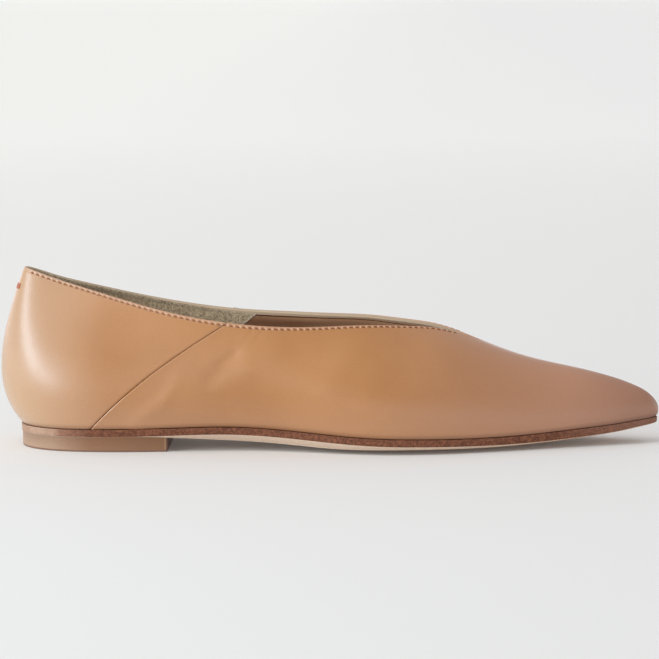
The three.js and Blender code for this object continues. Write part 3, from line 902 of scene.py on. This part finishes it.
# Distances of the columns beside the seam, and how many there are shaded on the vamp and quarters
SEAM_NEAR = np.array([0, 0.05, 0.16, 0.32, 0.52, 0.78, 1.1, 1.5, 2.0, 2.7, 3.5])
VAMP_SHADED = 1
QUARTER_SHADED = 3
COLUMN_GAP = 0.85
FIRST_EVEN_COLUMN = 4.3
RIDGE_COLUMNS = 80
RIDGE_END_PACE = 0.3
QUARTER_COLUMNS = 117


def vamp_shares():
    """Close columns beside the seam, even ones to the throat, and closer and closer to the tip."""
    start = SEAM[LATERAL].places[-1]
    whole = TIP - start
    to_throat = THROAT - start
    even = np.arange(FIRST_EVEN_COLUMN, to_throat - COLUMN_GAP / 2, COLUMN_GAP)
    share = np.linspace(0, 1, RIDGE_COLUMNS + 1)[1:]
    eased = share * (2 - RIDGE_END_PACE - (1 - RIDGE_END_PACE) * share)
    return np.concatenate([SEAM_NEAR, even, [to_throat], to_throat + (whole - to_throat) * eased]) / whole


def quarter_shares():
    whole = SEAM[LATERAL].places[-1]
    near = whole - SEAM_NEAR[::-1]
    even = np.linspace(0, near[0], QUARTER_COLUMNS + 1)[:-1]
    return np.concatenate([even, near]) / whole


def fold_relief(values):
    """The folds follow the near side, and less deep the far side."""
    total = np.zeros_like(values["x"])
    spots = np.stack([values["x"], values["share"] * FOLD_TALL], -1)
    for row in FOLDS:
        fold = dict(zip(FOLD_COLUMNS, row))
        start = np.array([fold["x"], fold["share"] * FOLD_TALL])
        way = np.array([fold["end_x"], fold["end_share"] * FOLD_TALL]) - start
        away = spots - start
        along = np.clip((away @ way) / (way @ way), 0, 1)
        gap = np.linalg.norm(away - along[:, None] * way, axis=1)
        total += fold["rise"] * np.exp(-(gap / fold["width"]) ** 2)
    return total * np.where(values["side"] == LATERAL, 1, FAR_FOLDS) * smooth(*FOLDS_BELOW, values["edge"])


def throat_fill(values):
    """Rounds out the hollow line where the sections of the opening meet those of the ridge."""
    near = np.maximum(THROAT_BLEND - np.abs(values["section"] - THROAT), 0)
    return read(THROAT_TURN, values["level"]) * near ** 2 / (4 * THROAT_BLEND)


def stitch_furrow(values):
    """The stitches draw a shallow furrow along the topline."""
    from_row = (values["edge"] - STITCH_INSET) / FURROW_WIDTH
    return -FURROW_DEPTH * np.exp(-from_row ** 2) * (values["level"] > 0.5)


def vamp_relief(values):
    """Millimetres that the vamp's leather stands off the solid's outside."""
    lip = read(VAMP_LIP, values["seam"]) * smooth(*SEAM_BELOW, values["edge"])
    folds = fold_relief(values) * smooth(*SEAM_CLEAR, values["seam"])
    return lip + stitch_furrow(values) + folds + throat_fill(values)


def quarter_relief(values):
    """The quarters sink under the vamp beside the seam."""
    sunk = read(QUARTER_SINK, values["seam"]) * smooth(*SEAM_BELOW, values["edge"])
    return sunk + stitch_furrow(values)


def leather_piece(name, shares, seam_first, relief):
    """The faces inside the rolled edge are band, and the first ones beside the seam are shaded."""
    builder = Builder()
    for side in SIDES:
        points, data, rim_rows = leather_points(side, shares, seam_first)
        rows, columns = points.shape[0] - 1, points.shape[1] - 1
        paint = np.zeros((rows, columns), int)
        beside = slice(0, VAMP_SHADED) if seam_first else slice(columns - QUARTER_SHADED, columns)
        paint[:, beside] = 2
        paint[LEATHER_OVER_ROLL - rim_rows:] = 1
        builder.grid(points, flip=side == MEDIAL, paint=paint, **data)
    builder.weld()
    builder.lift(relief(builder.values))
    materials = [LEATHER_PAINT, BAND_PAINT, SEAM_PAINT]
    return builder.write(name, materials, uv=("run", "edge"), thickness=LEATHER, kept=("foot",))


place(leather_piece("vamp", vamp_shares(), True, vamp_relief), "upper_leather", "upper")
place(leather_piece("quarters", quarter_shares(), False, quarter_relief), "upper_leather")


# Linings

LINING_LEVELS = 60
LINING_COLUMNS = 190
LINING_OVERLAP = 5


def lining_piece(name, material, sections, depth_at, top_gap):
    """A sheet on the inside. sections gives the first and last section at a level, and top_gap how
    far below the top edge the sheet ends."""
    builder = Builder()
    share = np.linspace(0, 1, LINING_COLUMNS)
    for side in SIDES:
        first, last = sections(side, np.array([1.0]))
        t_top = first + (last - first) * share
        ceiling = 1 - read(top_gap, top_x.at(t_top)) * openness(t_top) / top_reach(side, t_top)
        v = np.linspace(0, 1, LINING_LEVELS)[:, None] * ceiling
        first, last = sections(side, v)
        t = first + (last - first) * share
        points = skin(side, t, v)
        cut, _ = distance_to(points, LINING_CUT[side].points)
        cut = np.where(t < LINING_CUT[side].at(v), -cut, cut)
        below, _ = distance_to(points, top_point(side, RUN_PLACES))
        builder.grid(points, flip=side == LATERAL, cut=cut, below=below - band_depth(points[..., 0]))
    builder.weld()
    builder.lift(depth_at(builder.values))
    return builder.write(name, [material], uv=("below", "cut"), thickness=LINING_LEATHER)


def suede_sections(side, v):
    return np.zeros_like(v), LINING_CUT[side].at(v)


def front_sections(side, v):
    return LINING_CUT[side].at(v) - LINING_OVERLAP, np.full_like(v, TIP)


def suede_depth(values):
    """The suede lies inside the wall, and its cut edge a little closer to it."""
    return WALL + 0.1 - 0.1 * smooth(0.5, 0, -values["cut"])


def front_depth(values):
    """The front lining goes under the suede."""
    return WALL - 0.15 - 0.35 * smooth(1.2, -0.4, values["cut"])


place(lining_piece("suede_lining", SUEDE_PAINT, suede_sections, suede_depth, SUEDE_GAP), "upper_leather")
place(lining_piece("front_lining", LINING_PAINT, front_sections, front_depth, FRONT_GAP), "upper_leather")


# Sole, heel block and sock

EDGE_ROUND = 0.25
# Height of the darker band round the foot of the heel block.
HEEL_FOOT_BAND = 0.85
SOCK_ROUND = 0.2


def sole_top(t, q):
    return sole_under.at(t) + sole_edge.at(t) - hollow.at(t) * (1 - q * q)


def sole_bottom(t, q):
    crowned = sole_under.at(t) - bevel.at(t) - belly.at(t) * (1 - q * q)
    return np.maximum(0, crowned)


def slab_piece(name, places, levels, across, materials):
    """A flat piece inside the feather line. levels gives each level's inset and height at sections
    t and shares q across, from -1 to 1, and the number of the material up to the next level."""
    ended = places[-1] >= TIP - 1e-9
    share = np.linspace(0, 1, across + 1)

    def layer(inset, height):
        near, far = [foot_point(side, places) - outward(side, places) * inset for side in SIDES]
        points = near[:, None] * (1 - share[:, None]) + far[:, None] * share[:, None]
        points[..., 2] = height
        points[0] = points[0, :1]
        if ended:
            points[-1] = points[-1, :1]
        return points

    stack = levels(places[:, None], 2 * share - 1)
    grids = [layer(inset, height) for inset, height, _ in stack]
    paints = [paint for _, _, paint in stack]
    builder = Builder()
    builder.grid(grids[0], flip=True, paint=paints[0])
    builder.grid(grids[-1], paint=paints[-1])
    rings = []
    for grid in grids:
        front = [] if ended else [grid[-1, 1:-1]]
        rings.append(np.concatenate([grid[:, 0], *front, grid[::-1, -1]]))
    for ring, following, paint in zip(rings, rings[1:], paints):
        builder.grid(np.stack([ring, following]), paint=paint)
    builder.weld()
    return builder.write(name, materials)


def sole_levels(t, q):
    under, slope, rim = sole_under.at(t), bevel.at(t), sole_top(t, 1)
    low = -SOLE_MARGIN + EDGE_UNDERCUT
    # Inset, height and material, from the top face over the edge and the bevel to the underside
    return (
        (-SOLE_MARGIN + EDGE_ROUND, sole_top(t, q), 0),
        (-SOLE_MARGIN + 0.07, rim - 0.07, 0),
        (-SOLE_MARGIN, rim - EDGE_ROUND, 0),
        (-SOLE_MARGIN + 0.1, under + 1.0, 0),
        (low, under, 1),
        (low + slope * 0.9, under - slope * 0.86, 1),
        (low + slope + 0.2, sole_bottom(t, q), 2),
    )


def heel_levels(t, q):
    side = -SOLE_MARGIN + EDGE_UNDERCUT + HEEL_INSET + bevel.at(t)
    return (
        (side, sole_bottom(t, q) - 0.05, 0),
        (side + HEEL_TAPER * 0.85, HEEL_FOOT_BAND, 0),
        (side + HEEL_TAPER * 0.9 + 0.08, HEEL_FOOT_BAND - 0.1, 1),
        (side + HEEL_TAPER, 0.4, 1),
        (side + HEEL_TAPER + 0.15, 0.15, 1),
        (side + HEEL_TAPER + 0.5, 0, 1),
    )


def sock_levels(t, q):
    board = sole_top(t, q) + CLEARANCE
    inset = WALL + CLEARANCE
    return (
        (inset + SOCK_ROUND, board + INSOLE, 0),
        (inset, board + INSOLE - SOCK_ROUND, 0),
        (inset, board, 0),
    )


def sole_places(count):
    """Sections from the back to the tip, closer together at both ends."""
    share = np.linspace(0, 1, count)
    back = 0.5 * share * share + 0.5 * share
    return TIP * (back * (1 - share) + (1 - (1 - share) ** 1.4) * share)


def heel_places(count):
    """Sections from the back to the breast, closer together at the back."""
    share = np.linspace(0, 1, count)
    breast = float(place_where(lambda t: foot_x.at(t) > HEEL_BREAST_AT, 0.0, TIP))
    return breast * share * (0.45 + 0.55 * share)


sole = slab_piece("sole", sole_places(260), sole_levels, 28, [EDGE_PAINT, BEVEL_PAINT, BOTTOM_PAINT])
heel_block = slab_piece("heel_block", heel_places(90), heel_levels, 20, [HEEL_PAINT, HEEL_FOOT_PAINT])
sock = slab_piece("sock", sole_places(160), sock_levels, 16, [SOCK_PAINT])
place(sole, "sole_leather", "outsole")
place(heel_block, "heel_cover", "heel")
place(sock, "sock_leather", "insole")


# Stitches along the topline and the tack at the back

THREAD_SIDES = 8
THREAD_ENDS = ((-0.5, 0.0), (-0.46, 0.6), (-0.36, 0.95), (0.36, 0.95), (0.46, 0.6), (0.5, 0.0))
STITCH_SLANT = 0.22
STITCH_PROUD = 0.02
TACK_HEIGHT = 64.9
TACK_TALL = 2.3
TACK_REACH = 10.8
TACK_PITCH = 0.4
TACK_RADIUS = 0.23
TACK_PROUD = 0.08


def thread_points(centre, along, up, length, radius):
    """Rings of points of a short round-ended thread. THREAD_ENDS has shares of its length and
    radius."""
    turns = 2 * math.pi * (np.arange(THREAD_SIDES + 1) % THREAD_SIDES)[:, None] / THREAD_SIDES
    ring = up * np.sin(turns) + np.cross(along, up) * np.cos(turns)
    return np.stack([centre + along * share * length + ring * radius * width for share, width in THREAD_ENDS])


def threads_piece(name, threads, material):
    builder = Builder()
    for thread in threads:
        builder.grid(thread_points(*thread))
    builder.weld()
    return builder.write(name, [material])


def stitch_threads():
    threads = []
    for side in SIDES:
        for k in range(STITCH_COUNT):
            t = np.interp(FIRST_STITCH + k * STITCH_PITCH, RUN[side], RUN_PLACES)
            v = 1 - STITCH_INSET / top_reach(side, t)
            normal = skin_normal(side, t, v)
            ahead = unit(skin(side, t + 0.3, v) - skin(side, t - 0.3, v))
            down = np.cross(ahead, normal)
            down = down * (-1 if down[2] > 0 else 1)
            slant = unit(ahead + STITCH_SLANT * down)
            centre = skin(side, t, v) + normal * STITCH_PROUD
            threads.append((centre, slant, normal, STITCH_LENGTH, STITCH_RADIUS))
    return threads


def tack_threads():
    """A bar of close upright stitches across the back, round to both sides."""
    threads = []
    for side in SIDES:
        for k in range(int(TACK_REACH / TACK_PITCH) + 1):
            t = max(k * TACK_PITCH, 0.01)
            v = float(place_where(lambda level: skin(side, t, level)[..., 2] > TACK_HEIGHT, 0.5, 1.0))
            normal = skin_normal(side, t, v)
            upright = unit(skin(side, t, v + 0.01) - skin(side, t, v - 0.01))
            centre = skin(side, t, v) + normal * TACK_PROUD
            threads.append((centre, upright, normal, TACK_TALL, TACK_RADIUS))
    return threads


place(threads_piece("topline_stitches", stitch_threads(), THREAD_PAINT), "upper_leather")
place(threads_piece("bar_tack", tack_threads(), TACK_PAINT), "upper_leather")


# Floor, light and camera

WALL_LIGHT = 1.5
CEILING_LIGHT = 0.62
LEFT_LIGHT = 0.17
BACK_LIGHT = 0.05
ROOM_COLOUR = (0.965, 0.975, 1.02, 1)
KEY_DIRECTION = (0.4, 0.3, -0.87)
KEY_STRENGTH = 0.66
KEY_SPREAD = 45
KEY_COLOUR = (1.0, 0.97, 0.9)
WINDOW_COLOUR = (0.78, 0.95, 1.08)
WINDOW_AIM = (-0.1, 0, 0.05)
FLOOR_HALF = 60
FLOOR_NEAR = (0.825, 0.8, 0.76, 1)
FLOOR_FAR = (1.0, 1.0, 0.945, 1)
FLOOR_GLOW = 0.045
FAR_GLOW = 0.62
GLOW_COLOUR = (1, 0.985, 0.96, 1)


def make_floor():
    """A pale floor with painted light, brighter far away and darker to the right, away from the lights on the
    left. It glows a little by the shoe, lifting the shadows there, and more far away, where it meets the
    walls.
    """
    mesh = bpy.data.meshes.new("floor")
    corners = [(x * FLOOR_HALF, y * FLOOR_HALF, 0) for x, y in ((-1, -1), (1, -1), (1, 1), (-1, 1))]
    mesh.from_pydata(corners, [], [(0, 1, 2, 3)])
    floor = link_object("floor", mesh)
    paint = Paint("pale_floor", (243, 242, 239), 0.9)
    x, y, _ = paint.split("Object")
    # Painted light: brighter far away and darker to the right.
    paint.now = paint.mix(paint.remap(y, 0.1, 2.5), FLOOR_NEAR, FLOOR_FAR)
    paint.tint(paint.remap(x, -0.4, 0.4), 0.925, 0.93, 0.95)
    spot = {0: paint.coordinates.outputs["Object"]}
    away = paint.node("ShaderNodeVectorMath", spot, operation="LENGTH").outputs["Value"]
    distant = paint.math("POWER", paint.remap(away, 0.2 * FLOOR_HALF, FLOOR_HALF), 2.0)
    # Painted light: the glow lifts the shadows by the shoe and brightens the floor far away.
    paint.set("Emission Color", GLOW_COLOUR)
    paint.set("Emission Strength", paint.math("MULTIPLY_ADD", distant, FAR_GLOW, FLOOR_GLOW))
    mesh.materials.append(paint.material)


def make_lamp(name, kind, power, colour):
    lamp = bpy.data.lights.new(name, kind)
    lamp.energy = power
    lamp.color = colour
    return lamp, link_object(name, lamp)


def make_window(name, place_at, lean, size, power):
    """A rectangular light that faces the shoe, with its long side along lean."""
    lamp, made = make_lamp(name, "AREA", power, WINDOW_COLOUR)
    lamp.shape = "RECTANGLE"
    lamp.size, lamp.size_y = size
    made.location = place_at
    facing = (Vector(place_at) - Vector(WINDOW_AIM)).normalized()
    across = Vector(lean).cross(facing).normalized()
    made.rotation_euler = Matrix((across, facing.cross(across), facing)).transposed().to_euler()


def make_sun():
    lamp, made = make_lamp("key", "SUN", KEY_STRENGTH, KEY_COLOUR)
    lamp.angle = math.radians(KEY_SPREAD)
    made.rotation_euler = Vector(KEY_DIRECTION).to_track_quat("-Z", "Y").to_euler()


def make_world():
    """Pale walls all round, brighter to the left and behind, and a dimmer ceiling."""
    world = bpy.data.worlds.new("studio")
    bpy.context.scene.world = world
    world.use_nodes = True
    nodes = Nodes(world.node_tree)
    x, y, height = nodes.split("Generated")
    strength = nodes.remap(height, 0.1, 0.35, WALL_LIGHT, CEILING_LIGHT, "SMOOTHSTEP")
    strength = nodes.math("MULTIPLY_ADD", x, -LEFT_LIGHT, strength)
    strength = nodes.math("MULTIPLY_ADD", y, BACK_LIGHT, strength)
    background = next(node for node in nodes.tree.nodes if node.type == "BACKGROUND")
    nodes.feed(background.inputs["Strength"], strength)
    nodes.feed(background.inputs["Color"], ROOM_COLOUR)


PHOTO_SIDE = 659
CAMERA_TURN = 1.25
CAMERA_RISE = 6.2
CAMERA_ROLL = 0.25
CAMERA_AWAY = 1.34
CAMERA_AIM = (0, 0, 0.0465)
FOCAL_PIXELS = 2.455 * 1340


def make_camera():
    lens = bpy.data.cameras.new("camera")
    lens.sensor_width = 36
    lens.lens = FOCAL_PIXELS / PHOTO_SIDE * lens.sensor_width
    lens.clip_end = 200
    camera = link_object("camera", lens)
    turned, risen = math.radians(CAMERA_TURN), math.radians(CAMERA_RISE)
    back = Vector((math.sin(turned) * math.cos(risen), -math.cos(turned) * math.cos(risen), math.sin(risen)))
    camera.location = Vector(CAMERA_AIM) + back * CAMERA_AWAY
    camera.rotation_mode = "QUATERNION"
    facing = (-back).to_track_quat("-Z", "Y")
    camera.rotation_quaternion = facing @ Matrix.Rotation(-math.radians(CAMERA_ROLL), 3, "Z").to_quaternion()
    bpy.context.scene.camera = camera


make_floor()
make_world()
make_sun()
make_window("side", (-1.38, -0.52, 0.64), (-0.188, 0.829, 0.527), (0.24, 0.75), 7.5)
make_window("low_side", (-1.2, -0.98, 0.40), (-0.325, 0.45, 0.24), (0.22, 0.6), 4.2)
make_camera()
bpy.context.scene.view_settings.view_transform = "Standard"
